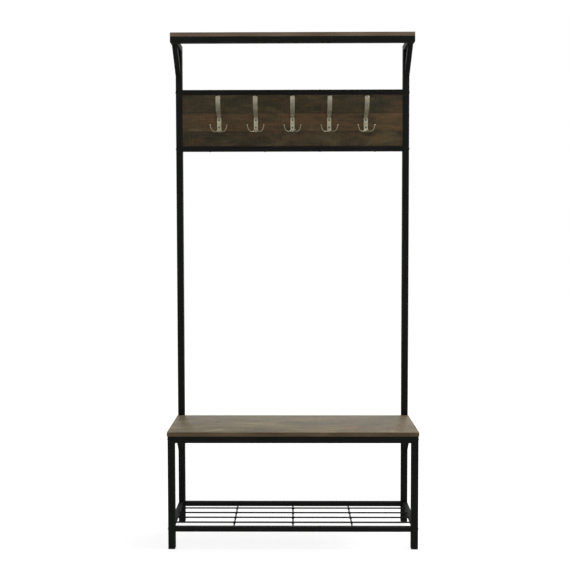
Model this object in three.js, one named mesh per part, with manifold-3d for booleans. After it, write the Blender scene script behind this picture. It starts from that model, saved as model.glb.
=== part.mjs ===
// Hall tree with a bench seat, a wire shoe rack, a top shelf and five triple coat hooks.
// Millimetres. +X right, +Y to the rear (the wall side), +Z up.
// The origin is on the floor, in the middle of the width and of the depth.
import * as THREE from 'three';
import { mergeVertices } from 'three/addons/utils/BufferGeometryUtils.js';
import Module from 'manifold-3d';

const wasm = await Module();
wasm.setup();

// Overall sizes
const FRAME_WIDTH = 902;
const FRAME_HEIGHT = 1864;
const LEG_FRONT_Y = -158;
const POST_FRONT_Y = 135;
const BOARD_THICKNESS = 15;

// Square and rectangular steel tube
const LEG_SIZE = 25;
const BEAM_HEIGHT = 25;
const SHELF_BEAM_HEIGHT = 22;
const RACK_BEAM_SIZE = 18;
const RAIL_SIZE = 20;
const BRACE_SIZE = 19;
const WALL = 1.2;
const CORNER_RADIUS = 1.8;

// Seat
const SEAT_UNDERSIDE_Z = 412;
const SEAT_OVERHANG = 2;
const SEAT_BRACE_DROP = 99;

// Rear posts: a lower and an upper length joined by a spigot behind the seat
const POST_JOINT_Z = 418;
const SPIGOT_LENGTH = 80;
const SPIGOT_SIZE = 22.4;
const PLUG_FLANGE = 3;
const PLUG_DEPTH = 14;
const PLUG_SIZE = 22.2;

// Shoe rack
const RACK_UNDERSIDE_Z = 64;
const WIRE_DIAMETER = 6;
const LONG_WIRE_Z = 75;
const LONG_WIRE_COUNT = 4;
const CROSS_WIRE_COUNT = 3;

// Top shelf
const SHELF_FRONT_Y = -16;
const SHELF_BOARD_REAR_Y = 110;
const SHELF_BRACE_DROP = 98;
const MITRE_GAP = 0.15;

// Hook panel between its two rails
const LOWER_RAIL_Z = 1457;
const UPPER_RAIL_Z = 1674;
const PANEL_FRONT_Y = 137;

// Hooks
const HOOK_COUNT = 5;
const HOOK_PITCH = 141.5;
const HOOK_WIDTH = 17;
const HOOK_PLATE_THICKNESS = 4;
const HOOK_SCREW_HEIGHTS = [1577, 1549];
const SCREW_SHANK_RADIUS = 2;
const SCREW_HEAD_RADIUS = 4;
const SCREW_LENGTH = 16;
const SCREW_CLEARANCE = 0.3;
const BRACE_CLEARANCE = 0.3;

const HALF_WIDTH = FRAME_WIDTH / 2;
const SEAT_BEAM_Z = SEAT_UNDERSIDE_Z - BEAM_HEIGHT;
const SHELF_BEAM_Z = FRAME_HEIGHT - SHELF_BEAM_HEIGHT;
const CLEAR_WIDTH = FRAME_WIDTH - 2 * LEG_SIZE;
const RACK_CLEAR_WIDTH = FRAME_WIDTH - 2 * RACK_BEAM_SIZE;

const finishes = {
  steel: { color: 0x1b1e1d, roughness: 0.5, metalness: 0.4 },
  laminate: { color: 0x6b5c49, roughness: 0.6, metalness: 0.0 },
  darkLaminate: { color: 0x4a3d2f, roughness: 0.6, metalness: 0.0 },
  nickel: { color: 0x98927a, roughness: 0.35, metalness: 0.9 },
  plastic: { color: 0x18191a, roughness: 0.6, metalness: 0.0 },
};

const hallTree = new THREE.Group();

// Adds one named piece to a group.
function addPiece(parent, name, geometry, finish) {
  const mesh = new THREE.Mesh(geometry, new THREE.MeshStandardMaterial(finishes[finish]));
  mesh.name = name;
  parent.add(mesh);
  return mesh;
}

// Joins and cuts

// Turns a closed geometry into a manifold solid.
function toSolid(geometry) {
  const bare = geometry.clone();
  bare.deleteAttribute('normal');
  bare.deleteAttribute('uv');
  const merged = mergeVertices(bare, 1e-5);
  const vertProperties = new Float32Array(merged.attributes.position.array);
  const triVerts = new Uint32Array(merged.index.array);
  return new wasm.Manifold(new wasm.Mesh({ numProp: 3, vertProperties, triVerts }));
}

// Turns a manifold solid back into a geometry.
function toGeometry(solid) {
  const result = solid.getMesh();
  const geometry = new THREE.BufferGeometry();
  geometry.setAttribute('position', new THREE.BufferAttribute(result.vertProperties, 3));
  geometry.setIndex(new THREE.BufferAttribute(result.triVerts, 1));
  geometry.computeVertexNormals();
  return geometry;
}

// One solid with others added to it and others taken away.
function combine(base, additions, cutters) {
  let solid = toSolid(base);
  for (const addition of additions) {
    solid = solid.add(toSolid(addition));
  }
  for (const cutter of cutters) {
    solid = solid.subtract(toSolid(cutter));
  }
  return toGeometry(solid);
}

// A box given by its two opposite corners.
function boxBetween(low, high) {
  const size = high.map((value, axis) => value - low[axis]);
  const box = new THREE.BoxGeometry(size[0], size[1], size[2]);
  box.translate(low[0] + size[0] / 2, low[1] + size[1] / 2, low[2] + size[2] / 2);
  return box;
}

// Tube sections

// Draws a rectangle with rounded corners about the origin.
function drawRoundedRectangle(path, width, height, radius) {
  const x = width / 2 - radius;
  const y = height / 2 - radius;
  path.moveTo(-x, -height / 2);
  path.lineTo(x, -height / 2);
  path.absarc(x, -y, radius, -Math.PI / 2, 0, false);
  path.lineTo(width / 2, y);
  path.absarc(x, y, radius, 0, Math.PI / 2, false);
  path.lineTo(-x, height / 2);
  path.absarc(-x, y, radius, Math.PI / 2, Math.PI, false);
  path.lineTo(-width / 2, -y);
  path.absarc(-x, -y, radius, Math.PI, 1.5 * Math.PI, false);
  return path;
}

// A hollow tube along +Z, its section centred on the origin.
function tube(width, height, length) {
  const outline = drawRoundedRectangle(new THREE.Shape(), width, height, CORNER_RADIUS);
  const bore = new THREE.Path();
  drawRoundedRectangle(bore, width - 2 * WALL, height - 2 * WALL, CORNER_RADIUS - WALL);
  outline.holes.push(bore);
  return new THREE.ExtrudeGeometry(outline, { depth: length, bevelEnabled: false, curveSegments: 1 });
}

// A tube standing on z = base, its section centred on x, y.
function addUpright(parent, name, x, y, base, top, size) {
  const mesh = addPiece(parent, name, tube(size, size, top - base), 'steel');
  mesh.position.set(x, y, base);
  return mesh;
}

// A tube along the width, its section centred on y, z.
function addCrossBeam(parent, name, span, y, z, depth, height) {
  const mesh = addPiece(parent, name, tube(height, depth, span), 'steel');
  mesh.rotation.y = Math.PI / 2;
  mesh.position.set(-span / 2, y, z);
  return mesh;
}

// A tube along the depth, its section centred on x, z.
function addSideBeam(parent, name, x, front, rear, z, width, height) {
  const mesh = addPiece(parent, name, tube(width, height, rear - front), 'steel');
  mesh.rotation.x = -Math.PI / 2;
  mesh.position.set(x, front, z);
  return mesh;
}

// A diagonal tube at 45 degrees, from a post's front face up to the underside of a beam.
// Its lower edge meets the post at z = top - drop.
function braceGeometry(top, drop) {
  const half = BRACE_SIZE / 2;
  const reach = drop * Math.SQRT2 + 4 * BRACE_SIZE;
  const bar = tube(BRACE_SIZE, BRACE_SIZE, reach);
  bar.translate(0, half, -2 * BRACE_SIZE);
  bar.rotateX(Math.PI / 4);
  bar.translate(0, POST_FRONT_Y, top - drop);
  const far = 400;
  const beam = boxBetween([-far, -far, top - BRACE_CLEARANCE], [far, far, top + far]);
  const postFace = POST_FRONT_Y - BRACE_CLEARANCE;
  const post = boxBetween([-far, postFace, top - 2 * far], [far, far, top + far]);
  return combine(bar, [], [beam, post]);
}

// Frame

// A plug with a flange the size of the tube and a body that fills its end.
function plugGeometry() {
  const flange = drawRoundedRectangle(new THREE.Shape(), LEG_SIZE, LEG_SIZE, CORNER_RADIUS);
  const options = { depth: PLUG_FLANGE, bevelEnabled: false, curveSegments: 1 };
  const plate = new THREE.ExtrudeGeometry(flange, options);
  const half = PLUG_SIZE / 2;
  const body = boxBetween([-half, -half, PLUG_FLANGE / 2], [half, half, PLUG_FLANGE + PLUG_DEPTH]);
  return combine(plate, [body], []);
}

// Front leg, rear post in two lengths, spigot and end plugs on one side.
function addUprights(parent, side, sign) {
  const x = sign * (HALF_WIDTH - LEG_SIZE / 2);
  const legY = LEG_FRONT_Y + LEG_SIZE / 2;
  const postY = POST_FRONT_Y + LEG_SIZE / 2;
  const postTop = FRAME_HEIGHT - PLUG_FLANGE;
  addUpright(parent, `${side}_front_leg`, x, legY, PLUG_FLANGE, SEAT_UNDERSIDE_Z, LEG_SIZE);
  addUpright(parent, `${side}_lower_post`, x, postY, PLUG_FLANGE, POST_JOINT_Z, LEG_SIZE);
  addUpright(parent, `${side}_upper_post`, x, postY, POST_JOINT_Z, postTop, LEG_SIZE);
  const spigotBase = POST_JOINT_Z - SPIGOT_LENGTH / 2;
  addUpright(parent, `${side}_post_spigot`, x, postY, spigotBase, spigotBase + SPIGOT_LENGTH, SPIGOT_SIZE);
  const plug = plugGeometry();
  addPiece(parent, `${side}_front_foot`, plug, 'plastic').position.set(x, legY, 0);
  addPiece(parent, `${side}_rear_foot`, plug.clone(), 'plastic').position.set(x, postY, 0);
  const cap = addPiece(parent, `${side}_post_cap`, plug.clone(), 'plastic');
  cap.rotation.x = Math.PI;
  cap.position.set(x, postY, FRAME_HEIGHT);
}

// The rectangular frame under the seat and its board.
function addSeat(parent) {
  const z = SEAT_BEAM_Z + BEAM_HEIGHT / 2;
  const frontY = LEG_FRONT_Y + LEG_SIZE / 2;
  const rearY = POST_FRONT_Y - LEG_SIZE / 2;
  const sideFront = LEG_FRONT_Y + LEG_SIZE;
  const x = HALF_WIDTH - LEG_SIZE / 2;
  addCrossBeam(parent, 'seat_front_beam', CLEAR_WIDTH, frontY, z, LEG_SIZE, BEAM_HEIGHT);
  addCrossBeam(parent, 'seat_rear_beam', CLEAR_WIDTH, rearY, z, LEG_SIZE, BEAM_HEIGHT);
  addSideBeam(parent, 'seat_left_beam', -x, sideFront, POST_FRONT_Y, z, LEG_SIZE, BEAM_HEIGHT);
  addSideBeam(parent, 'seat_right_beam', x, sideFront, POST_FRONT_Y, z, LEG_SIZE, BEAM_HEIGHT);
  const halfSeat = HALF_WIDTH + SEAT_OVERHANG;
  const low = [-halfSeat, LEG_FRONT_Y - SEAT_OVERHANG, SEAT_UNDERSIDE_Z];
  const high = [halfSeat, POST_FRONT_Y, SEAT_UNDERSIDE_Z + BOARD_THICKNESS];
  addPiece(parent, 'seat_board', boxBetween(low, high), 'laminate');
}

// The beams of the shoe rack, flush with the outside of the legs.
function addRackFrame(parent) {
  const half = RACK_BEAM_SIZE / 2;
  const z = RACK_UNDERSIDE_Z + half;
  const sideFront = LEG_FRONT_Y + LEG_SIZE;
  const x = HALF_WIDTH - half;
  const size = RACK_BEAM_SIZE;
  addCrossBeam(parent, 'rack_front_beam', CLEAR_WIDTH, LEG_FRONT_Y + half, z, size, size);
  addCrossBeam(parent, 'rack_rear_beam', CLEAR_WIDTH, POST_FRONT_Y + half, z, size, size);
  addSideBeam(parent, 'rack_left_beam', -x, sideFront, POST_FRONT_Y, z, size, size);
  addSideBeam(parent, 'rack_right_beam', x, sideFront, POST_FRONT_Y, z, size, size);
}

// A round wire centred on the origin, along Y.
function wireGeometry(length) {
  return new THREE.CylinderGeometry(WIRE_DIAMETER / 2, WIRE_DIAMETER / 2, length, 12);
}

// Long wires between the side beams, with cross wires welded under them.
function addRackWires(parent) {
  const front = LEG_FRONT_Y + RACK_BEAM_SIZE;
  const rear = POST_FRONT_Y;
  for (let i = 1; i <= LONG_WIRE_COUNT; i += 1) {
    const wire = addPiece(parent, `rack_long_wire_${i}`, wireGeometry(RACK_CLEAR_WIDTH), 'steel');
    wire.rotation.z = Math.PI / 2;
    wire.position.set(0, front + (i * (rear - front)) / (LONG_WIRE_COUNT + 1), LONG_WIRE_Z);
  }
  for (let i = 1; i <= CROSS_WIRE_COUNT; i += 1) {
    const wire = addPiece(parent, `rack_cross_wire_${i}`, wireGeometry(rear - front), 'steel');
    const x = (i * RACK_CLEAR_WIDTH) / (CROSS_WIRE_COUNT + 1) - RACK_CLEAR_WIDTH / 2;
    wire.position.set(x, (front + rear) / 2, LONG_WIRE_Z - WIRE_DIAMETER);
  }
}

// Top shelf

// A wedge that cuts a beam end at 45 degrees through a front corner of the shelf frame.
// The front beam loses the outer rear side of the corner, a side beam the inner front side.
function mitreCutter(sign, forFrontBeam) {
  const reach = 60;
  const gap = forFrontBeam ? -MITRE_GAP : MITRE_GAP;
  const corner = new THREE.Vector2(sign * HALF_WIDTH, SHELF_FRONT_Y + gap);
  const along = new THREE.Vector2(-sign * reach, reach);
  const away = new THREE.Vector2(sign * reach, reach).multiplyScalar(forFrontBeam ? 1 : -1);
  const points = [corner.clone().sub(along), corner.clone().add(along), corner.clone().add(away)];
  const wedge = new THREE.ExtrudeGeometry(new THREE.Shape(points), { depth: 80, bevelEnabled: false });
  wedge.translate(0, 0, SHELF_BEAM_Z - 20);
  return wedge;
}

// The U-shaped shelf frame, mitred at its two front corners, and its board.
function addTopShelf(parent) {
  const z = SHELF_BEAM_Z + SHELF_BEAM_HEIGHT / 2;
  const front = tube(SHELF_BEAM_HEIGHT, LEG_SIZE, FRAME_WIDTH);
  front.rotateY(Math.PI / 2);
  front.translate(-HALF_WIDTH, SHELF_FRONT_Y + LEG_SIZE / 2, z);
  const frontBeam = combine(front, [], [mitreCutter(-1, true), mitreCutter(1, true)]);
  addPiece(parent, 'shelf_front_beam', frontBeam, 'steel');
  for (const [side, sign] of [['left', -1], ['right', 1]]) {
    const bar = tube(LEG_SIZE, SHELF_BEAM_HEIGHT, POST_FRONT_Y - SHELF_FRONT_Y);
    bar.rotateX(-Math.PI / 2);
    bar.translate(sign * (HALF_WIDTH - LEG_SIZE / 2), SHELF_FRONT_Y, z);
    const sideBeam = combine(bar, [], [mitreCutter(sign, false)]);
    addPiece(parent, `shelf_${side}_beam`, sideBeam, 'steel');
  }
  const low = [-HALF_WIDTH, SHELF_FRONT_Y, FRAME_HEIGHT];
  const high = [HALF_WIDTH, SHELF_BOARD_REAR_Y, FRAME_HEIGHT + BOARD_THICKNESS];
  addPiece(parent, 'shelf_board', boxBetween(low, high), 'laminate');
}

// Diagonal braces under the shelf and under the seat.
function addBraces(parent) {
  for (const [side, sign] of [['left', -1], ['right', 1]]) {
    const x = sign * (HALF_WIDTH - BRACE_SIZE / 2);
    const shelfBrace = braceGeometry(SHELF_BEAM_Z, SHELF_BRACE_DROP);
    addPiece(parent, `${side}_shelf_brace`, shelfBrace, 'steel').position.x = x;
    const seatBrace = braceGeometry(SEAT_BEAM_Z, SEAT_BRACE_DROP);
    addPiece(parent, `${side}_seat_brace`, seatBrace, 'steel').position.x = x;
  }
}

// Hook panel

// A round hole tool along Y from the panel's front face, centred on x, z.
function screwHole(x, z, from, to) {
  const radius = SCREW_SHANK_RADIUS + SCREW_CLEARANCE;
  const hole = new THREE.CylinderGeometry(radius, radius, to - from, 12);
  hole.translate(x, (from + to) / 2, z);
  return hole;
}

// The middle of one hook across the width.
function hookX(index) {
  return (index - (HOOK_COUNT - 1) / 2) * HOOK_PITCH;
}

// The two rails and the board between them, drilled for the hook screws.
function addPanel(parent) {
  const railY = POST_FRONT_Y + RAIL_SIZE / 2;
  const lowerZ = LOWER_RAIL_Z + RAIL_SIZE / 2;
  const upperZ = UPPER_RAIL_Z + RAIL_SIZE / 2;
  addCrossBeam(parent, 'lower_hook_rail', CLEAR_WIDTH, railY, lowerZ, RAIL_SIZE, RAIL_SIZE);
  addCrossBeam(parent, 'upper_hook_rail', CLEAR_WIDTH, railY, upperZ, RAIL_SIZE, RAIL_SIZE);
  const low = [-CLEAR_WIDTH / 2, PANEL_FRONT_Y, LOWER_RAIL_Z + RAIL_SIZE];
  const high = [CLEAR_WIDTH / 2, PANEL_FRONT_Y + BOARD_THICKNESS, UPPER_RAIL_Z];
  const holes = [];
  const depth = SCREW_LENGTH - HOOK_PLATE_THICKNESS + SCREW_CLEARANCE;
  for (let i = 0; i < HOOK_COUNT; i += 1) {
    for (const z of HOOK_SCREW_HEIGHTS) {
      holes.push(screwHole(hookX(i), z, PANEL_FRONT_Y - 5, PANEL_FRONT_Y + depth));
    }
  }
  addPiece(parent, 'hook_panel', combine(boxBetween(low, high), [], holes), 'darkLaminate');
}

// Hooks. Each is one casting: a flat back plate whose upper end sweeps forward into a long
// arm, with a round prong curling out and up on each side of its foot.
// Measured from the panel's front face: out is the distance forward.

// The side view of the plate and arm as a strip of constant thickness.
function hookSideShape() {
  const half = HOOK_PLATE_THICKNESS / 2;
  const centre = new THREE.CurvePath();
  const at = (out, z) => new THREE.Vector2(out, z);
  centre.add(new THREE.LineCurve(at(half, 1530), at(half, 1586)));
  centre.add(new THREE.CubicBezierCurve(at(half, 1586), at(half, 1604), at(18, 1596), at(36, 1602)));
  centre.add(new THREE.CubicBezierCurve(at(36, 1602), at(57, 1609), at(66, 1630), at(66, 1660)));
  const steps = 20;
  const outer = [];
  const inner = [];
  for (let i = 0; i <= steps; i += 1) {
    const point = centre.getPointAt(i / steps);
    const tangent = centre.getTangentAt(i / steps);
    const normal = at(tangent.y, -tangent.x).multiplyScalar(half);
    outer.push(point.clone().add(normal));
    inner.push(point.clone().sub(normal));
  }
  return new THREE.Shape([...outer, ...inner.reverse()]);
}

// A prong as a round bar along its curve; sign is the side it leans to.
function prongGeometry(sign) {
  const path = new THREE.CatmullRomCurve3([
    new THREE.Vector3(sign * 3, -2, 1543),
    new THREE.Vector3(sign * 9, -10, 1534),
    new THREE.Vector3(sign * 18, -22, 1531),
    new THREE.Vector3(sign * 27, -33, 1537),
    new THREE.Vector3(sign * 32, -38, 1556),
  ]);
  const radius = 3;
  const sides = 8;
  const points = [];
  for (let i = 0; i < sides; i += 1) {
    const angle = (i * 2 * Math.PI) / sides;
    points.push(new THREE.Vector2(radius * Math.cos(angle), radius * Math.sin(angle)));
  }
  return new THREE.ExtrudeGeometry(new THREE.Shape(points), { steps: 12, extrudePath: path });
}

// One hook with its two screw holes, its back on the plane y = 0.
function hookGeometry() {
  const options = { depth: HOOK_WIDTH, bevelEnabled: false };
  const strip = new THREE.ExtrudeGeometry(hookSideShape(), options);
  strip.translate(0, 0, -HOOK_WIDTH / 2);
  strip.rotateX(Math.PI / 2);
  strip.rotateZ(-Math.PI / 2);
  const holes = HOOK_SCREW_HEIGHTS.map((z) => screwHole(0, z, -20, 5));
  const wall = boxBetween([-50, 0, 1500], [50, 20, 1700]);
  return combine(strip, [prongGeometry(-1), prongGeometry(1)], [...holes, wall]);
}

// A pan head screw along Y, the underside of its head on the plane y = 0.
function screwGeometry() {
  const profile = [
    new THREE.Vector2(0, -SCREW_LENGTH),
    new THREE.Vector2(SCREW_SHANK_RADIUS, -SCREW_LENGTH + 2),
    new THREE.Vector2(SCREW_SHANK_RADIUS, 0),
    new THREE.Vector2(SCREW_HEAD_RADIUS, 0),
    new THREE.Vector2(SCREW_HEAD_RADIUS * 0.8, 1.6),
    new THREE.Vector2(0, 2.2),
  ];
  const screw = new THREE.LatheGeometry(profile, 12);
  screw.rotateZ(Math.PI);
  return screw;
}

// Five hooks, each held by two screws.
function addHooks(parent) {
  for (let i = 0; i < HOOK_COUNT; i += 1) {
    const group = new THREE.Group();
    group.position.set(hookX(i), PANEL_FRONT_Y, 0);
    parent.add(group);
    addPiece(group, `hook_${i + 1}`, hookGeometry(), 'nickel');
    HOOK_SCREW_HEIGHTS.forEach((z, row) => {
      const place = row === 0 ? 'upper' : 'lower';
      const screw = addPiece(group, `hook_${i + 1}_${place}_screw`, screwGeometry(), 'nickel');
      screw.position.set(0, -HOOK_PLATE_THICKNESS, z);
    });
  }
}

addUprights(hallTree, 'left', -1);
addUprights(hallTree, 'right', 1);
addSeat(hallTree);
addRackFrame(hallTree);
addRackWires(hallTree);
addTopShelf(hallTree);
addBraces(hallTree);
addPanel(hallTree);
addHooks(hallTree);

export default hallTree;
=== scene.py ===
"""A hall tree: bench seat, shoe rack, hook panel and top shelf on a black steel frame.

Metres, +X right, +Y to the wall, +Z up, with the origin on the floor under the middle.
"""
from __future__ import annotations

import logging
import math
import random
from dataclasses import dataclass
from enum import Enum
from typing import Callable, Iterable, Sequence

import bmesh
import bpy
from mathutils import Matrix, Vector


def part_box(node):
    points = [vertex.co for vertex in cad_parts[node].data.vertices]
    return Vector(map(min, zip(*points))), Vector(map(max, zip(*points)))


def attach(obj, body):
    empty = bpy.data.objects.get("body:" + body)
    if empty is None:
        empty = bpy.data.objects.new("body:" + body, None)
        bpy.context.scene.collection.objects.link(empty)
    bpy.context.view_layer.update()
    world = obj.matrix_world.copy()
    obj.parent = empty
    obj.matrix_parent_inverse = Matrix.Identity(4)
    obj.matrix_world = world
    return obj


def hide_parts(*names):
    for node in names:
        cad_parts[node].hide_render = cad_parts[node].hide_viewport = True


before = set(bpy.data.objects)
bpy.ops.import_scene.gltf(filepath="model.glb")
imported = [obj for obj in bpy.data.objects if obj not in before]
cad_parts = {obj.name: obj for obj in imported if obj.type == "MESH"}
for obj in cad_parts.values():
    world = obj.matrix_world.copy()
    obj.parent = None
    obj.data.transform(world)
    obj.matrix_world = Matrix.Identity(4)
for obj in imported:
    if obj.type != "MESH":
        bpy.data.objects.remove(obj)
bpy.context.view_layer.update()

LOG = logging.getLogger("hall_tree")
MM = 0.001
X_AXIS = Vector((1.0, 0.0, 0.0))
Y_AXIS = Vector((0.0, 1.0, 0.0))
Z_AXIS = Vector((0.0, 0.0, 1.0))
SIDES = (("left", -1.0), ("right", 1.0))

Colour = tuple[float, float, float]
Place = tuple[float, float, float]


class Axis(Enum):
    """The direction a straight bar runs in."""

    ACROSS = 0
    DEEP = 1
    UPRIGHT = 2

    @property
    def vector(self) -> Vector:
        """The unit vector of this direction."""
        return (X_AXIS, Y_AXIS, Z_AXIS)[self.value].copy()


# --------------------------------------------------------------------------------------
# Node recipes for the finishes
# --------------------------------------------------------------------------------------


def toned(colour: Colour, factor: float) -> Colour:
    """A colour made lighter or darker by a factor."""
    return tuple(factor * part for part in colour)


class Recipe:
    """The node tree of one finish, laid down a node at a time."""

    def __init__(self, name: str) -> None:
        """Starts a material with an empty recipe.

        Args:
            name: The material's name.
        """
        self.material = bpy.data.materials.new(name)
        self.material.use_nodes = True
        self.tree = self.material.node_tree
        self.shader = self.tree.nodes["Principled BSDF"]
        self.place = self.node("ShaderNodeTexCoord").outputs["Object"]

    def node(self, kind: str, **settings: object) -> bpy.types.Node:
        """Adds a node and sets its options.

        Args:
            kind: The node's type name.
            **settings: Options of the node.

        Returns:
            The new node.
        """
        made = self.tree.nodes.new(kind)
        for key, value in settings.items():
            setattr(made, key, value)
        return made

    def feed(self, socket: bpy.types.NodeSocket, value: object) -> None:
        """Links an output to a socket, or sets the socket's own value.

        Args:
            socket: The input to feed.
            value: An output socket, a number, a vector or a colour.
        """
        if isinstance(value, bpy.types.NodeSocket):
            self.tree.links.new(value, socket)
        elif isinstance(value, tuple) and len(value) == 3 and socket.type == "RGBA":
            socket.default_value = (*value, 1.0)
        else:
            socket.default_value = value

    def math(self, operation: str, first: object, second: object = 0.0) -> bpy.types.NodeSocket:
        """One arithmetic step.

        Args:
            operation: The operation, such as MULTIPLY.
            first: The first number or output.
            second: The second number or output.

        Returns:
            The result's output.
        """
        made = self.node("ShaderNodeMath", operation=operation)
        self.feed(made.inputs[0], first)
        self.feed(made.inputs[1], second)
        return made.outputs[0]

    def stretch(self, scale: Sequence[float], offset: object = None) -> bpy.types.NodeSocket:
        """Object coordinates scaled on each axis, and moved first if asked.

        Args:
            scale: The scale along X, Y and Z.
            offset: An output or vector added before scaling.

        Returns:
            The coordinate output.
        """
        source = self.place
        if offset is not None:
            moved = self.node("ShaderNodeVectorMath", operation="ADD")
            self.feed(moved.inputs[0], source)
            self.feed(moved.inputs[1], offset)
            source = moved.outputs[0]
        scaled = self.node("ShaderNodeVectorMath", operation="MULTIPLY")
        self.feed(scaled.inputs[0], source)
        self.feed(scaled.inputs[1], tuple(scale))
        return scaled.outputs[0]

    def noise(self, where: object, detail: float = 4.0, rough: float = 0.55,
              bend: float = 0.0) -> bpy.types.NodeSocket:
        """Soft noise from 0 to 1 over a coordinate.

        Args:
            where: The coordinate output.
            detail: How many finer layers it has.
            rough: How strong the finer layers are.
            bend: How far the pattern is distorted.

        Returns:
            The noise value's output.
        """
        made = self.node("ShaderNodeTexNoise")
        self.feed(made.inputs["Vector"], where)
        made.inputs["Scale"].default_value = 1.0
        made.inputs["Detail"].default_value = detail
        made.inputs["Roughness"].default_value = rough
        made.inputs["Distortion"].default_value = bend
        return made.outputs["Fac"]

    def spread(self, value: object, low: float, high: float,
               to_low: float = 0.0, to_high: float = 1.0) -> bpy.types.NodeSocket:
        """Maps a range of values onto another, held at both ends.

        Args:
            value: The output to map.
            low: The value that becomes to_low.
            high: The value that becomes to_high.
            to_low: The lower result.
            to_high: The upper result.

        Returns:
            The mapped value's output.
        """
        made = self.node("ShaderNodeMapRange", clamp=True)
        for socket, number in zip(made.inputs, (value, low, high, to_low, to_high)):
            self.feed(socket, number)
        return made.outputs[0]

    def mix(self, share: object, first: object, second: object) -> bpy.types.NodeSocket:
        """Mixes two colours.

        Args:
            share: How much of the second colour shows.
            first: The first colour or output.
            second: The second colour or output.

        Returns:
            The mixed colour's output.
        """
        made = self.node("ShaderNodeMix", data_type="RGBA", blend_type="MIX")
        self.feed(made.inputs["Factor"], share)
        self.feed(made.inputs[6], first)
        self.feed(made.inputs[7], second)
        return made.outputs[2]

    def bump(self, height: object, depth: float, below: object = None) -> bpy.types.NodeSocket:
        """Turns a height into a surface direction.

        Args:
            height: The height's output, from 0 to 1.
            depth: The depth of the relief in metres.
            below: A coarser relief that this one lies on.

        Returns:
            The normal's output.
        """
        made = self.node("ShaderNodeBump")
        made.inputs["Strength"].default_value = 1.0
        made.inputs["Distance"].default_value = depth
        self.feed(made.inputs["Height"], height)
        if below is not None:
            self.feed(made.inputs["Normal"], below)
        return made.outputs[0]

    def attribute(self, name: str) -> bpy.types.NodeSocket:
        """A number stored on the mesh's points."""
        return self.node("ShaderNodeAttribute", attribute_name=name).outputs["Fac"]

    def part(self, value: object, axis: Axis) -> bpy.types.NodeSocket:
        """One component of a coordinate.

        Args:
            value: The coordinate.
            axis: Which component.

        Returns:
            The component's output.
        """
        made = self.node("ShaderNodeSeparateXYZ")
        self.feed(made.inputs[0], value)
        return made.outputs[axis.value]


@dataclass(frozen=True)
class PowderCoat:
    """Satin black powder coat with a fine orange peel and rubbed corners."""

    name: str = "powder_coat"
    colour: Colour = (0.0062, 0.0070, 0.0060)
    worn: Colour = (0.020, 0.022, 0.020)
    roughness: float = 0.48
    specular: float = 0.06
    peel_depth: float = 0.012 * MM

    def material(self) -> bpy.types.Material:
        """Builds the finish.

        Returns:
            The finished material.
        """
        recipe = Recipe(self.name)
        cloudy = recipe.noise(recipe.stretch((9.0, 9.0, 9.0)), detail=3.0)
        tone = recipe.mix(recipe.spread(cloudy, 0.3, 0.7), self.colour, toned(self.colour, 1.35))
        rubbed = recipe.noise(recipe.stretch((45.0, 45.0, 45.0)), detail=5.0)
        wear = recipe.math("MULTIPLY", recipe.attribute("corner"),
                           recipe.spread(rubbed, 0.45, 0.72, 0.25, 1.0))
        recipe.feed(recipe.shader.inputs["Base Color"],
                    recipe.mix(recipe.math("MULTIPLY", wear, 0.8), tone, self.worn))
        smudged = recipe.noise(recipe.stretch((30.0, 30.0, 30.0)), detail=4.0)
        smudge = recipe.spread(smudged, 0.25, 0.75, self.roughness - 0.06, self.roughness + 0.08)
        recipe.feed(recipe.shader.inputs["Roughness"],
                    recipe.math("SUBTRACT", smudge, recipe.math("MULTIPLY", wear, 0.10)))
        peel = recipe.noise(recipe.stretch((700.0, 700.0, 700.0)), detail=2.0)
        recipe.feed(recipe.shader.inputs["Normal"], recipe.bump(peel, self.peel_depth))
        recipe.shader.inputs["Specular IOR Level"].default_value = self.specular
        return recipe.material


@dataclass(frozen=True)
class Plank:
    """How one printed plank differs from its neighbours. Its first number is the plank's printed tone. On
    the seat it also holds painted light that makes the upward faces lighter.
    """

    tone_and_light: float
    warmth: float


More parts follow.
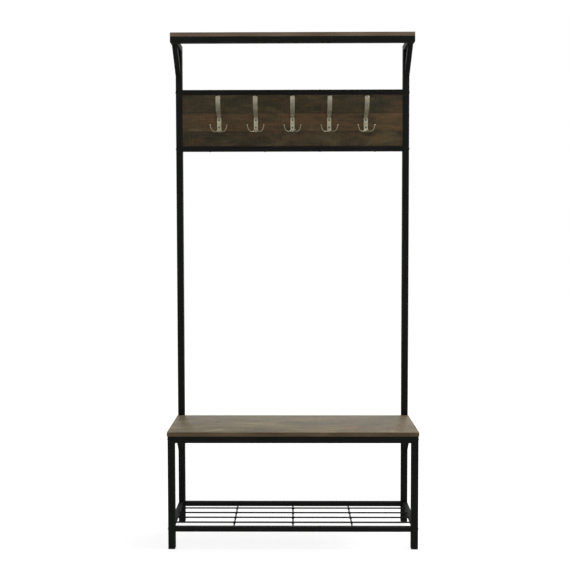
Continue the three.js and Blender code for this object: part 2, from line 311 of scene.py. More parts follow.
@dataclass(frozen=True)
class PlankLaminate:
    """Printed laminate of old brown planks that run along the width.

    rows is the axis across the planks, row_width their width in metres, and start where the
    first plank begins on that axis. row_shift moves each plank's pattern on from the last one's,
    wander is how far the grain strays in metres, and brightest is the highest level of printed tone and
    painted light there can be.
    """

    name: str
    rows: Axis
    row_width: float
    start: float
    planks: tuple[Plank, ...]
    olive: Colour = (0.052, 0.041, 0.0205)
    dark: Colour = (0.024, 0.0195, 0.0115)
    tan: Colour = (0.105, 0.080, 0.038)
    red: Colour = (0.086, 0.046, 0.020)
    slate: Colour = (0.021, 0.0205, 0.0155)
    roughness: float = 0.50
    specular: float = 0.10
    brightest: float = 4.0
    row_shift: Place = (3.37, 1.91, 0.83)
    wander: float = 18.0 * MM
    cut_depth: float = 0.06 * MM
    fibre_depth: float = 0.02 * MM

    def _row(self, recipe: Recipe) -> tuple[bpy.types.NodeSocket, ...]:
        """Which plank a point is on, and how near it is to the plank's edge.

        Args:
            recipe: The recipe being built.

        Returns:
            The plank's number, its tone with any painted light, its warmth, and a value that is 1 on a
            seam.
        """
        across = recipe.part(recipe.place, self.rows)
        count = recipe.math("DIVIDE", recipe.math("SUBTRACT", across, self.start), self.row_width)
        row = recipe.math("FLOOR", count)
        inside = recipe.math("SUBTRACT", count, row)
        edge = recipe.math("MINIMUM", inside, recipe.math("SUBTRACT", 1.0, inside))
        seam = recipe.spread(edge, 0.006, 0.030, 1.0, 0.0)
        ramp = recipe.node("ShaderNodeValToRGB")
        ramp.color_ramp.interpolation = "CONSTANT"
        total = len(self.planks)
        while len(ramp.color_ramp.elements) < total:
            ramp.color_ramp.elements.new(0.5)
        for index, plank in enumerate(self.planks):
            element = ramp.color_ramp.elements[index]
            element.position = index / total
            element.color = (plank.tone_and_light / self.brightest, plank.warmth, 0.0, 1.0)
        recipe.feed(ramp.inputs[0], recipe.math("DIVIDE", recipe.math("ADD", row, 0.5), total))
        split = recipe.node("ShaderNodeSeparateColor")
        recipe.feed(split.inputs[0], ramp.outputs[0])
        tone_and_light = recipe.math("MULTIPLY", split.outputs[0], self.brightest)
        return row, tone_and_light, split.outputs[1], seam

    def _shift(self, recipe: Recipe, row: bpy.types.NodeSocket) -> bpy.types.NodeSocket:
        """Moves the pattern so that no two planks are alike.

        Args:
            recipe: The recipe being built.
            row: The plank's number.

        Returns:
            The shift of the plank's pattern.
        """
        shift = recipe.node("ShaderNodeCombineXYZ")
        for socket, factor in zip(shift.inputs, self.row_shift):
            recipe.feed(socket, recipe.math("MULTIPLY", row, factor))
        return shift.outputs[0]

    def _bend(self, recipe: Recipe, moved: bpy.types.NodeSocket) -> bpy.types.NodeSocket:
        """Makes the grain wander across the plank.

        Args:
            recipe: The recipe being built.
            moved: The shift of the plank's pattern.

        Returns:
            The shift with the wander added.
        """
        warp = recipe.noise(recipe.stretch((4.0, 18.0, 18.0), moved), detail=2.0)
        lift = recipe.node("ShaderNodeCombineXYZ")
        for socket in lift.inputs[1:]:
            recipe.feed(socket, recipe.math("MULTIPLY", warp, self.wander))
        bent = recipe.node("ShaderNodeVectorMath", operation="ADD")
        recipe.feed(bent.inputs[0], moved)
        recipe.feed(bent.inputs[1], lift.outputs[0])
        return bent.outputs[0]

    def _body(self, recipe: Recipe, moved: bpy.types.NodeSocket,
              warmth: bpy.types.NodeSocket) -> bpy.types.NodeSocket:
        """The broad patches of colour on a plank.

        Args:
            recipe: The recipe being built.
            moved: The shift of the plank's pattern.
            warmth: How reddish the plank is.

        Returns:
            The colour's output.
        """
        broad = recipe.noise(recipe.stretch((5.0, 17.0, 17.0), moved), detail=5.0, rough=0.62, bend=0.6)
        body = recipe.mix(recipe.spread(broad, 0.36, 0.66), self.dark, self.olive)
        body = recipe.mix(recipe.spread(broad, 0.56, 0.78, 0.0, 0.8), body, self.tan)
        rosy = recipe.noise(recipe.stretch((9.0, 24.0, 24.0), moved), detail=5.0, rough=0.66, bend=1.0)
        rose = recipe.spread(recipe.math("ADD", rosy, recipe.math("MULTIPLY", warmth, 0.26)),
                             0.55, 0.80, 0.0, 0.85)
        body = recipe.mix(rose, body, self.red)
        sooty = recipe.noise(recipe.stretch((7.0, 21.0, 21.0), self._bend(recipe, moved)),
                             detail=5.0, rough=0.6, bend=0.8)
        return recipe.mix(recipe.spread(sooty, 0.53, 0.74, 0.0, 0.62), body, self.slate)

    def _saw_marks(self, recipe: Recipe, moved: bpy.types.NodeSocket) -> bpy.types.NodeSocket:
        """Short dark lines across the plank, left by the saw in patches.

        Args:
            recipe: The recipe being built.
            moved: The shift of the plank's pattern.

        Returns:
            How strongly a mark shows, from 0 to 1.
        """
        lines = recipe.noise(recipe.stretch((270.0, 20.0, 20.0), moved), detail=3.0, rough=0.6, bend=0.15)
        patch = recipe.noise(recipe.stretch((8.0, 30.0, 30.0), moved), detail=3.0, rough=0.6)
        return recipe.math("MULTIPLY", recipe.spread(lines, 0.50, 0.66),
                           recipe.spread(patch, 0.36, 0.62, 0.15, 1.0))

    def _lines(self, recipe: Recipe, bent: bpy.types.NodeSocket) -> bpy.types.NodeSocket:
        """The grain: fine dark lines along the plank, crisp and broken.

        Args:
            recipe: The recipe being built.
            bent: The shift of the plank's pattern with its wander.

        Returns:
            How strongly a line shows, from 0 to 1.
        """
        broad = recipe.noise(recipe.stretch((6.0, 210.0, 210.0), bent), detail=4.0, rough=0.62, bend=0.25)
        pores = recipe.noise(recipe.stretch((42.0, 1300.0, 1300.0), bent), detail=3.0, rough=0.6)
        return recipe.math("MAXIMUM", recipe.spread(broad, 0.52, 0.64, 0.0, 0.9),
                           recipe.spread(pores, 0.57, 0.66, 0.0, 1.0))

    def material(self) -> bpy.types.Material:
        """Builds the finish.

        Returns:
            The finished material.
        """
        recipe = Recipe(self.name)
        row, tone_and_light, warmth, seam = self._row(recipe)
        moved = self._shift(recipe, row)
        bent = self._bend(recipe, moved)
        body = self._body(recipe, moved, warmth)
        grain = self._lines(recipe, bent)
        marks = self._saw_marks(recipe, moved)
        fibre = recipe.noise(recipe.stretch((26.0, 760.0, 760.0), bent), detail=4.0, rough=0.65)
        pale = recipe.mix(recipe.spread(fibre, 0.50, 0.66, 0.0, 0.30), body, self.tan)
        streak = recipe.mix(recipe.math("MULTIPLY", grain, 0.42), pale, self.dark)
        scaled = recipe.node("ShaderNodeVectorMath", operation="SCALE")
        recipe.feed(scaled.inputs[0], streak)
        level = recipe.math("MULTIPLY", tone_and_light, recipe.spread(marks, 0.0, 1.0, 1.10, 0.72))
        recipe.feed(scaled.inputs["Scale"], level)
        knotted = recipe.mix(self._knots(recipe, moved), scaled.outputs[0], toned(self.dark, 0.5))
        seamed = recipe.mix(recipe.math("MULTIPLY", seam, 0.45), knotted, toned(self.dark, 0.45))
        recipe.feed(recipe.shader.inputs["Base Color"], seamed)
        recipe.feed(recipe.shader.inputs["Roughness"],
                    recipe.spread(grain, 0.0, 1.0, self.roughness - 0.04, self.roughness + 0.10))
        cuts = recipe.math("ADD", recipe.math("ADD", grain, seam),
                           recipe.math("MULTIPLY", marks, 0.6))
        pressed = recipe.bump(recipe.math("SUBTRACT", 1.0, cuts), self.cut_depth)
        recipe.feed(recipe.shader.inputs["Normal"], recipe.bump(fibre, self.fibre_depth, pressed))
        recipe.shader.inputs["Specular IOR Level"].default_value = self.specular
        return recipe.material

    def _knots(self, recipe: Recipe, moved: bpy.types.NodeSocket) -> bpy.types.NodeSocket:
        """Dark knots scattered thinly along the planks.

        Args:
            recipe: The recipe being built.
            moved: The shift of each plank's pattern.

        Returns:
            How strongly a knot shows, from 0 to 1.
        """
        cells = recipe.node("ShaderNodeTexVoronoi")
        recipe.feed(cells.inputs["Vector"], recipe.stretch((6.0, 15.0, 15.0), moved))
        cells.inputs["Scale"].default_value = 1.0
        near = recipe.spread(cells.outputs["Distance"], 0.05, 0.17, 0.6, 0.0)
        kept = recipe.node("ShaderNodeSeparateColor")
        recipe.feed(kept.inputs[0], cells.outputs["Color"])
        return recipe.math("MULTIPLY", near, recipe.spread(kept.outputs[0], 0.60, 0.64))


@dataclass(frozen=True)
class EdgeBand:
    """The thin printed band glued round a board's edges."""

    name: str
    dark: Colour = (0.060, 0.039, 0.021)
    light: Colour = (0.122, 0.083, 0.046)
    specular: float = 0.15
    relief: float = 0.05 * MM

    def material(self) -> bpy.types.Material:
        """Builds the finish.

        Returns:
            The finished material.
        """
        recipe = Recipe(self.name)
        grain = recipe.noise(recipe.stretch((9.0, 9.0, 420.0)), detail=4.0, rough=0.6, bend=0.3)
        patch = recipe.noise(recipe.stretch((7.0, 7.0, 40.0)), detail=3.0)
        body = recipe.mix(recipe.spread(patch, 0.3, 0.7), self.dark, self.light)
        recipe.feed(recipe.shader.inputs["Base Color"],
                    recipe.mix(recipe.spread(grain, 0.35, 0.65, 0.5, 0.0), body, self.dark))
        recipe.feed(recipe.shader.inputs["Roughness"], recipe.spread(grain, 0.2, 0.8, 0.55, 0.45))
        recipe.feed(recipe.shader.inputs["Normal"], recipe.bump(grain, self.relief))
        recipe.shader.inputs["Specular IOR Level"].default_value = self.specular
        return recipe.material


@dataclass(frozen=True)
class SatinMetal:
    """Satin plated metal with faint brushing and tarnish in patches."""

    name: str
    colour: Colour
    tarnish: Colour
    roughness: float
    brushing: Place = (700.0, 60.0, 60.0)
    metallic: float = 1.0
    relief: float = 0.02 * MM

    def material(self) -> bpy.types.Material:
        """Builds the finish.

        Returns:
            The finished material.
        """
        recipe = Recipe(self.name)
        patch = recipe.noise(recipe.stretch((70.0, 70.0, 70.0)), detail=4.0, rough=0.6)
        recipe.feed(recipe.shader.inputs["Base Color"],
                    recipe.mix(recipe.spread(patch, 0.38, 0.70), self.colour, self.tarnish))
        recipe.shader.inputs["Metallic"].default_value = self.metallic
        brushed = recipe.noise(recipe.stretch(self.brushing), 3.0)
        recipe.feed(recipe.shader.inputs["Roughness"],
                    recipe.spread(brushed, 0.25, 0.75, self.roughness - 0.05,
                                  self.roughness + 0.08))
        recipe.feed(recipe.shader.inputs["Normal"], recipe.bump(brushed, self.relief))
        return recipe.material


@dataclass(frozen=True)
class MouldedPlastic:
    """Black moulded plastic with a fine spark texture."""

    name: str = "moulded_plastic"
    colour: Colour = (0.0085, 0.0090, 0.0090)
    specular: float = 0.25
    spark_depth: float = 0.05 * MM

    def material(self) -> bpy.types.Material:
        """Builds the finish.

        Returns:
            The finished material.
        """
        recipe = Recipe(self.name)
        scuffs = recipe.noise(recipe.stretch((160.0, 160.0, 160.0)), detail=5.0)
        recipe.feed(recipe.shader.inputs["Base Color"],
                    recipe.mix(recipe.spread(scuffs, 0.45, 0.75), self.colour,
                               toned(self.colour, 2.0)))
        recipe.feed(recipe.shader.inputs["Roughness"], recipe.spread(scuffs, 0.2, 0.8, 0.5, 0.68))
        spark = recipe.noise(recipe.stretch((1600.0, 1600.0, 1600.0)), detail=2.0)
        recipe.feed(recipe.shader.inputs["Normal"], recipe.bump(spark, self.spark_depth))
        recipe.shader.inputs["Specular IOR Level"].default_value = self.specular
        return recipe.material


@dataclass(frozen=True)
class StudioFloor:
    """Matt milky acrylic that glows softly."""

    name: str = "studio_floor"
    colour: Colour = (0.20, 0.20, 0.20)
    roughness: float = 0.85
    specular: float = 0.1
    glow: float = 0.82

    def material(self) -> bpy.types.Material:
        """Builds the finish.

        Returns:
            The finished material.
        """
        recipe = Recipe(self.name)
        cloudy = recipe.noise(recipe.stretch((1.5, 1.5, 1.5)), detail=2.0)
        recipe.feed(recipe.shader.inputs["Base Color"],
                    recipe.mix(cloudy, self.colour, toned(self.colour, 0.985)))
        recipe.shader.inputs["Roughness"].default_value = self.roughness
        recipe.shader.inputs["Specular IOR Level"].default_value = self.specular
        recipe.shader.inputs["Emission Color"].default_value = (1.0, 1.0, 1.0, 1.0)
        recipe.shader.inputs["Emission Strength"].default_value = self.glow
        return recipe.material


class Finishes:
    """Every material, made once and handed to the sub-assemblies."""

    def __init__(self, row_width: float, panel_start: float, seat_start: float) -> None:
        """Makes the materials.

        Args:
            row_width: The width of one printed plank.
            panel_start: The height where a plank of the hook panel begins.
            seat_start: The depth where a plank of the seat begins.
        """
        self.steel = PowderCoat().material()
        self.panel = PlankLaminate("panel_laminate_finish", Axis.UPRIGHT, row_width, panel_start, (
            Plank(0.90, 0.35), Plank(1.03, 0.80), Plank(0.91, 0.22))).material()
        # The seat's planks are about 1.8 times as light as the panel's, though they are the same
        # laminate. This is painted light for the light that falls on upward faces.
        self.seat = PlankLaminate("seat_laminate_painted_light", Axis.DEEP, row_width, seat_start, (
            Plank(1.86, 0.0), Plank(1.78, 0.14), Plank(1.82, 0.0), Plank(1.76, 0.08),
            Plank(1.82, 0.02)), specular=0.23).material()
        self.band = EdgeBand("seat_edge_band").material()
        # A lighter copy of the seat's edge band for the same edging: painted light on the shelf's front
        # edge.
        self.shelf_band_painted_light = EdgeBand("shelf_edge_band_painted_light", dark=(0.092, 0.062, 0.038),
                                   light=(0.165, 0.118, 0.078)).material()
        self.nickel = SatinMetal("satin_nickel_finish", colour=(0.50, 0.465, 0.335),
                                 tarnish=(0.37, 0.34, 0.235), roughness=0.40,
                                 metallic=0.82).material()
        self.zinc = SatinMetal("screw_finish", colour=(0.19, 0.185, 0.145),
                               tarnish=(0.12, 0.115, 0.09), roughness=0.42,
                               brushing=(300.0, 300.0, 300.0)).material()
        self.bolt = SatinMetal("black_bolt_finish", colour=(0.030, 0.031, 0.031),
                               tarnish=(0.020, 0.020, 0.021), roughness=0.45,
                               brushing=(260.0, 260.0, 260.0)).material()
        self.bare = SatinMetal("bare_steel_finish", colour=(0.36, 0.36, 0.35),
                               tarnish=(0.25, 0.23, 0.20), roughness=0.42,
                               brushing=(60.0, 60.0, 500.0)).material()
        self.plastic = MouldedPlastic().material()


# --------------------------------------------------------------------------------------
# Mesh making
# --------------------------------------------------------------------------------------


class Workbench:
    """Holds one mesh while it is made and turns it into a finished piece."""

    def __init__(self) -> None:
        """Starts an empty mesh."""
        self.mesh = bmesh.new()
        self.corner = self.mesh.verts.layers.float.new("corner")

    def ring(self, points: Iterable[Vector],
             corner: Sequence[float] = ()) -> list[bmesh.types.BMVert]:
        """Adds points and marks how much of a corner each one is.

        Args:
            points: The places of the points.
            corner: One number per point, or nothing for zero.

        Returns:
            The new vertices.
        """
        made = []
        for index, point in enumerate(points):
            vertex = self.mesh.verts.new(point)
            vertex[self.corner] = corner[index] if corner else 0.0
            made.append(vertex)
        return made

    def bridge(self, first: Sequence[bmesh.types.BMVert],
               second: Sequence[bmesh.types.BMVert]) -> None:
        """Joins two rings of the same length with four-sided faces.

        Args:
            first: The first ring.
            second: The second ring.
        """
        count = len(first)
        for index in range(count):
            after = (index + 1) % count
            self.mesh.faces.new((first[index], first[after], second[after], second[index]))

    def cap(self, ring: Sequence[bmesh.types.BMVert], backwards: bool = False) -> None:
        """Closes a ring with one face."""
        self.mesh.faces.new(tuple(reversed(ring)) if backwards else tuple(ring))

    def sweep(self, rings: Sequence[Sequence[Vector]]) -> None:
        """Joins a row of rings into a closed skin, capped at both ends.

        Args:
            rings: The places of each ring's points, in order.
        """
        made = [self.ring(points) for points in rings]
        for first, second in zip(made, made[1:]):
            self.bridge(first, second)
        self.cap(made[0], True)
        self.cap(made[-1])

    def finish(self, name: str, material: bpy.types.Material, slot: str,
               nodes: Sequence[str] = (), sharp: float = 35.0) -> bpy.types.Object:
        """Turns the mesh into a piece that rides on the frame.

        Args:
            name: The piece's name.
            material: Its finish.
            slot: The record's material slot. Not used.
            nodes: The solid pieces it stands for.
            sharp: The angle in degrees over which an edge stays crisp.

        Returns:
            The new object.
        """
        bmesh.ops.recalc_face_normals(self.mesh, faces=self.mesh.faces)
        data = bpy.data.meshes.new(name)
        self.mesh.to_mesh(data)
        self.mesh.free()
        data.polygons.foreach_set("use_smooth", [True] * len(data.polygons))
        data.set_sharp_from_angle(angle=math.radians(sharp))
        data.materials.append(material)
        piece = bpy.data.objects.new(name, data)
        bpy.context.scene.collection.objects.link(piece)
        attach(piece, "root")
        if nodes:
            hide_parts(*nodes)
        LOG.info("%s: %d faces", name, len(data.polygons))
        return piece


@dataclass
class TubeStock:
    """Rectangular steel tube with rounded corners."""

    width: float
    height: float
    wall: float = 1.2 * MM
    radius: float = 2.0 * MM
    steps: int = 5

    def outline(self, width: float, height: float, radius: float) -> list[Place]:
        """Points round a rounded rectangle.

        Args:
            width: The rectangle's width.
            height: Its height.
            radius: Its corner radius.

        Returns:
            Each point's two distances from the middle, and how much of a corner it is.
        """
        points = []
        for quarter, (sx, sy) in enumerate(((1, -1), (1, 1), (-1, 1), (-1, -1))):
            centre_x = sx * (width / 2 - radius)
            centre_y = sy * (height / 2 - radius)
            for step in range(self.steps + 1):
                angle = math.radians(-90 + 90 * quarter + 90 * step / self.steps)
                middle = 1.0 - abs(2.0 * step / self.steps - 1.0)
                points.append((centre_x + radius * math.cos(angle),
                               centre_y + radius * math.sin(angle), middle))
        return points

    def lay(self, bench: Workbench, start: Vector, end: Vector, side: Vector,
            start_cut: Vector | None = None, end_cut: Vector | None = None) -> None:
        """Adds a length of tube to a mesh.

        Args:
            bench: The mesh being made.
            start: The middle of the section at one end.
            end: The middle of the section at the other end.
            side: The direction of the section's width.
            start_cut: The direction square to the first cut face, if it is mitred.
            end_cut: The direction square to the second cut face, if it is mitred.
        """
        along = (end - start).normalized()
        up = along.cross(side).normalized()
        inner_radius = self.radius - self.wall * 0.7
        outer = self.outline(self.width, self.height, self.radius)
        inner = self.outline(self.width - 2 * self.wall, self.height - 2 * self.wall, inner_radius)
        rings = []
        for base, cut in ((start, start_cut or along), (end, end_cut or along)):
            for section in (outer, inner):
                places = []
                for x, y, _ in section:
                    point = side * x + up * y
                    places.append(base + point - along * (point.dot(cut) / along.dot(cut)))
                marks = [mark for _, _, mark in section] if section is outer else ()
                rings.append(bench.ring(places, marks))
        near_outer, near_inner, far_outer, far_inner = rings
        bench.bridge(near_outer, far_outer)
        bench.bridge(far_inner, near_inner)
        bench.bridge(near_inner, near_outer)
        bench.bridge(far_outer, far_inner)


@dataclass
class Bar:
    """One straight tube that stands for one solid piece of the frame."""

    node: str
    axis: Axis

    def make(self, finish: bpy.types.Material, slot: str = "black_steel") -> bpy.types.Object:
        """Builds the tube in its place.

        Args:
            finish: The finish of the tube.
            slot: The record's material slot.

        Returns:
            The new piece.
        """
        low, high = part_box(self.node)
        size = high - low
        start = (low + high) / 2
        end = start.copy()
        start[self.axis.value] = low[self.axis.value]
        end[self.axis.value] = high[self.axis.value]
        width_axis = Axis.DEEP if self.axis is Axis.ACROSS else Axis.ACROSS
        height_axis = Axis.DEEP if self.axis is Axis.UPRIGHT else Axis.UPRIGHT
        bench = Workbench()
        stock = TubeStock(size[width_axis.value], size[height_axis.value])
        stock.lay(bench, start, end, width_axis.vector)
        return bench.finish(f"{self.node}_tube", finish, slot, (self.node,))


def run(points: Sequence[Vector], radii: Sequence[float], sides: int, up: Vector) -> list[list[Vector]]:
    """Rings of a round bar along a path.

    Args:
        points: The path's points.
        radii: The bar's radius at each point.
        sides: How many points each ring has.
        up: A direction that the path never runs along.

    Returns:
        The places of each ring's points.
    """
    rings = []
    for index, point in enumerate(points):
        before = points[max(index - 1, 0)]
        after = points[min(index + 1, len(points) - 1)]
        along = (after - before).normalized()
        across = along.cross(up).normalized()
        over = across.cross(along)
        ring = []
        for side in range(sides):
            angle = 2 * math.pi * side / sides
            ring.append(point + (across * math.cos(angle) + over * math.sin(angle)) * radii[index])
        rings.append(ring)
    return rings


def curve(points: Sequence[Vector], steps: int) -> list[Vector]:
    """A smooth path through points.

    Args:
        points: The points it passes through.
        steps: How many steps there are between two of them.

    Returns:
        The path's points.
    """
    padded = [points[0] * 2 - points[1], *points, points[-1] * 2 - points[-2]]
    path = []
    for index in range(1, len(padded) - 2):
        before, start, end, after = padded[index - 1:index + 3]
        for step in range(steps):
            t = step / steps
            path.append(0.5 * (2 * start + (end - before) * t
                               + (2 * before - 5 * start + 4 * end - after) * t * t
                               + (3 * start - before - 3 * end + after) * t * t * t))
    path.append(points[-1].copy())
    return path


def even(path: Sequence[Vector], step: float) -> list[Vector]:
    """Points spaced evenly along a path.

    Args:
        path: The path's points.
        step: The spacing aimed at.

    Returns:
        The new points, with the same first and last.
    """
    total = sum((b - a).length for a, b in zip(path, path[1:]))
    count = max(2, round(total / step))
    points = [path[0].copy()]
    travelled, index = 0.0, 0
    for number in range(1, count):
        target = total * number / count
        while travelled + (path[index + 1] - path[index]).length < target:
            travelled += (path[index + 1] - path[index]).length
            index += 1
        span = (path[index + 1] - path[index]).length
        points.append(path[index].lerp(path[index + 1], (target - travelled) / span))
    points.append(path[-1].copy())
    return points


def lathe(bench: Workbench, profile: Sequence[tuple[float, float]], base: Vector, axis: Vector,
          segments: int, shape: Callable[[int, float], float]) -> None:
    """Adds a turned shape to a mesh.

    Args:
        bench: The mesh being made.
        profile: Radius and height of each ring, from the bottom up.
        base: The foot of the axis.
        axis: The direction of the axis.
        segments: How many points each ring has.
        shape: Scales a ring's radius by the ring's number and the angle.
    """
    side = axis.orthogonal().normalized()
    over = axis.cross(side)
    rings = []
    for number, (radius, height) in enumerate(profile):
        ring = []
        for index in range(segments):
            angle = 2 * math.pi * index / segments
            out = side * math.cos(angle) + over * math.sin(angle)
            ring.append(base + axis * height + out * radius * shape(number, angle))
        rings.append(ring)
    bench.sweep(rings)


# --------------------------------------------------------------------------------------
# Fasteners and welds
# --------------------------------------------------------------------------------------


@dataclass
class ButtonBolt:
    """A low round bolt head with a hexagon socket."""

    radius: float = 5.2 * MM
    height: float = 2.0 * MM
    socket: float = 2.1 * MM

    def add(self, bench: Workbench, base: Vector, axis: Vector) -> None:
        """Adds the head to a mesh.

        Args:
            bench: The mesh being made.
            base: The point on the tube's face under the head.
            axis: The direction out of the face.
        """
        radius, height, socket = self.radius, self.height, self.socket
        dome = [(radius * 0.9, -0.6 * MM), (radius, 0.1 * MM), (radius * 0.97, height * 0.35),
                (radius * 0.84, height * 0.70), (radius * 0.62, height * 0.93),
                (socket * 1.25, height)]
        recess = [(socket, height), (socket * 0.97, height * 0.25)]

        def hexagon(number: int, angle: float) -> float:
            """Bends the socket's rings to a hexagon.

            Args:
                number: The ring's number.
                angle: The angle round the ring.

            Returns:
                The scale of the ring's radius there.
            """
            if number < len(dome):
                return 1.0
            wedge = (angle + math.pi / 6) % (math.pi / 3) - math.pi / 6
            return 1.0 / math.cos(wedge)

        lathe(bench, dome + recess, base, axis, 24, hexagon)


@dataclass
class PanScrew:
    """A pan head screw with a cross recess."""

    radius: float = 3.6 * MM
    height: float = 1.8 * MM
    shank: float = 0.0
    shank_radius: float = 2.0 * MM
    turn: float = 0.0

    def add(self, bench: Workbench, base: Vector, axis: Vector) -> None:
        """Adds the head, and its shank if it has one, to a mesh.

        Args:
            bench: The mesh being made.
            base: The point on the face under the head.
            axis: The direction out of the face.
        """
        radius, height, thin = self.radius, self.height, self.shank_radius
        foot = [(radius * 0.9, -0.5 * MM)]
        if self.shank:
            foot = [(thin * 0.2, -self.shank), (thin, -self.shank + thin), (thin, 0.0)]
        head = [(radius, 0.0), (radius * 0.99, height * 0.25), (radius * 0.90, height * 0.62),
                (radius * 0.70, height * 0.88), (radius * 0.56, height * 0.96)]
        recess = [(radius * 0.50, height), (radius * 0.46, height * 0.90),
                  (radius * 0.16, height * 0.15)]

        def cross(number: int, angle: float) -> float:
            """Pulls the recess in between the arms of the cross.

            Args:
                number: The ring's number.
                angle: The angle round the ring.

            Returns:
                The scale of the ring's radius there.
            """
            if number < len(foot) + len(head):
                return 1.0
            return 0.42 + 0.58 * abs(math.cos(2 * (angle + self.turn))) ** 6

        lathe(bench, foot + head + recess, base, axis, 32, cross)


def screw_row(bench: Workbench, node: str, count: int, turn: float, out: Vector) -> None:
    """Adds a row of screws along a beam that runs across the width.

    Args:
        bench: The mesh being made.
        node: The beam.
        count: How many screws there are.
        turn: How much further each cross is turned than the last, in radians.
        out: The direction out of the face they are in, up or down.
    """
    low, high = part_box(node)
    face = high.z if out.z > 0 else low.z
    for index in range(count):
        x = low.x + (high.x - low.x) * (index + 0.5) / count
        base = Vector((x, (low.y + high.y) / 2, face))
        PanScrew(turn=index * turn).add(bench, base, out)


@dataclass
class WeldRun:
    """A short weld bead with overlapping ripples."""

    radius: float = 1.15 * MM
    pitch: float = 1.7 * MM
    wobble: float = 0.12 * MM
    ripple: float = 0.14
    unevenness: float = 0.08
    sides: int = 8

    def add(self, bench: Workbench, start: Vector, end: Vector, seed: int) -> None:
        """Adds the bead to a mesh.

        Args:
            bench: The mesh being made.
            start: Where the bead begins.
            end: Where it ends.
            seed: The number that fixes its unevenness.
        """
        rng = random.Random(seed)
        length = (end - start).length
        count = max(10, int(length / self.pitch * 4))
        along = (end - start).normalized()
        up = Z_AXIS if abs(along.z) < 0.9 else Y_AXIS
        points, radii = [], []
        for index in range(count + 1):
            share = index / count
            points.append(start.lerp(end, share) + self.wobble * math.sin(17.0 * share + seed) * up)
            ripple = 1.0 + self.ripple * math.cos(2 * math.pi * share * length / self.pitch)
            taper = min(1.0, 0.35 + 5.0 * min(share, 1.0 - share))
            uneven = 1.0 + self.unevenness * rng.uniform(-1, 1)
            radii.append(self.radius * ripple * taper * uneven)
        bench.sweep(run(points, radii, self.sides, up))


@dataclass
class WeldSpot:
    """A small blob of weld where two wires cross or a wire meets a beam."""

    size: Place
    rings: int = 7
    sides: int = 12

    def add(self, bench: Workbench, centre: Vector, seed: int) -> None:
        """Adds the blob to a mesh.

        Args:
            bench: The mesh being made.
            centre: The middle of the blob.
            seed: The number that fixes its unevenness.
        """
        phase = random.Random(seed).uniform(0, 6.28)
        made = []
        for ring in range(1, self.rings):
            lift = math.pi * ring / self.rings
            row = []
            for side in range(self.sides):
                angle = 2 * math.pi * side / self.sides
                lump = 1.0 + 0.10 * math.sin(2 * angle + phase) + 0.05 * math.sin(5 * angle)
                row.append(centre + Vector((
                    self.size[0] * math.sin(lift) * math.cos(angle) * lump,
                    self.size[1] * math.sin(lift) * math.sin(angle) * lump,
                    self.size[2] * math.cos(lift))))
            made.append(row)
        bench.sweep(made)


# --------------------------------------------------------------------------------------
# Sub-assemblies
# --------------------------------------------------------------------------------------


@dataclass
class Board:
    """A laminated board with banded edges."""

    node: str
    slot: str
    softened: float = 0.5 * MM

    def make(self, face: bpy.types.Material, band: bpy.types.Material) -> bpy.types.Object:
        """Builds the board in its place.

        Args:
            face: The finish of its two large faces.
            band: The finish of its edges.

        Returns:
            The new piece.
        """
        low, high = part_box(self.node)
        size = high - low
        bench = Workbench()
        block = bmesh.ops.create_cube(bench.mesh, size=1.0)
        for vertex in block["verts"]:
            vertex.co = (low + high) / 2 + Vector(a * b for a, b in zip(vertex.co, size))
        bmesh.ops.bevel(bench.mesh, geom=list(bench.mesh.edges), offset=self.softened,
                        segments=3, profile=0.5, affect="EDGES")
        thin = min(range(3), key=lambda axis: size[axis])
        piece = bench.finish(f"{self.node}_laminated", face, self.slot, (self.node,))
        piece.data.materials.append(band)
        for polygon in piece.data.polygons:
            if abs(polygon.normal[thin]) < 0.8:
                polygon.material_index = 1
        return piece


@dataclass
class EndPlugs:
    """The plastic plugs in the feet and in the tops of the posts."""

    feet: tuple[str, ...] = ("front_foot", "rear_foot")
    inset: float = 0.8 * MM

    def make(self, finishes: Finishes) -> None:
        """Builds every plug.

        Args:
            finishes: The materials.
        """
        for side, _ in SIDES:
            for foot in self.feet:
                self._plug(f"{side}_{foot}", False, finishes.plastic)
            self._plug(f"{side}_post_cap", True, finishes.plastic)

    def _plug(self, node: str, top: bool, finish: bpy.types.Material) -> None:
        """Builds one plug with a softened flange and grip ribs.

        Args:
            node: The solid piece it stands for.
            top: Whether it faces up.
            finish: The plastic.
        """
        low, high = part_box(node)
        centre = (low + high) / 2
        half = (high.x - low.x) / 2
        face = high.z if top else low.z
        inward = -1.0 if top else 1.0
        stations = [(half * 0.45, 0.0), (half - 1.6 * MM, 0.0), (half - self.inset, 0.15 * MM),
                    (half - 0.25 * MM, 0.7 * MM), (half, 1.3 * MM), (half, 2.9 * MM),
                    (half - 1.5 * MM, 2.95 * MM), (half - 1.5 * MM, 5.0 * MM),
                    (half - 1.3 * MM, 5.6 * MM), (half - 1.6 * MM, 8.0 * MM),
                    (half - 1.35 * MM, 8.6 * MM), (half - 1.7 * MM, 11.0 * MM),
                    (half - 1.45 * MM, 11.6 * MM), (half - 2.6 * MM, high.z - low.z)]
        bench = Workbench()
        rings = []
        for reach, depth in stations:
            stock = TubeStock(2 * reach, 2 * reach, radius=min(2.0 * MM, reach * 0.4))
            section = stock.outline(stock.width, stock.height, stock.radius)
            rings.append([Vector((centre.x + x, centre.y + y, face + inward * depth))
                          for x, y, _ in section])
        bench.sweep(rings)
        bench.finish(f"{node}_plug", finish, "black_plastic", (node,))


@dataclass
class Uprights:
    """The front legs and the rear posts with their spigots."""

    tubes: tuple[str, ...] = ("front_leg", "lower_post", "upper_post")

    def make(self, finishes: Finishes) -> None:
        """Builds the upright tubes.

        Args:
            finishes: The materials.
        """
        for side, _ in SIDES:
            for name in self.tubes:
                Bar(f"{side}_{name}", Axis.UPRIGHT).make(finishes.steel)
            Bar(f"{side}_post_spigot", Axis.UPRIGHT).make(finishes.bare, "plain_steel")


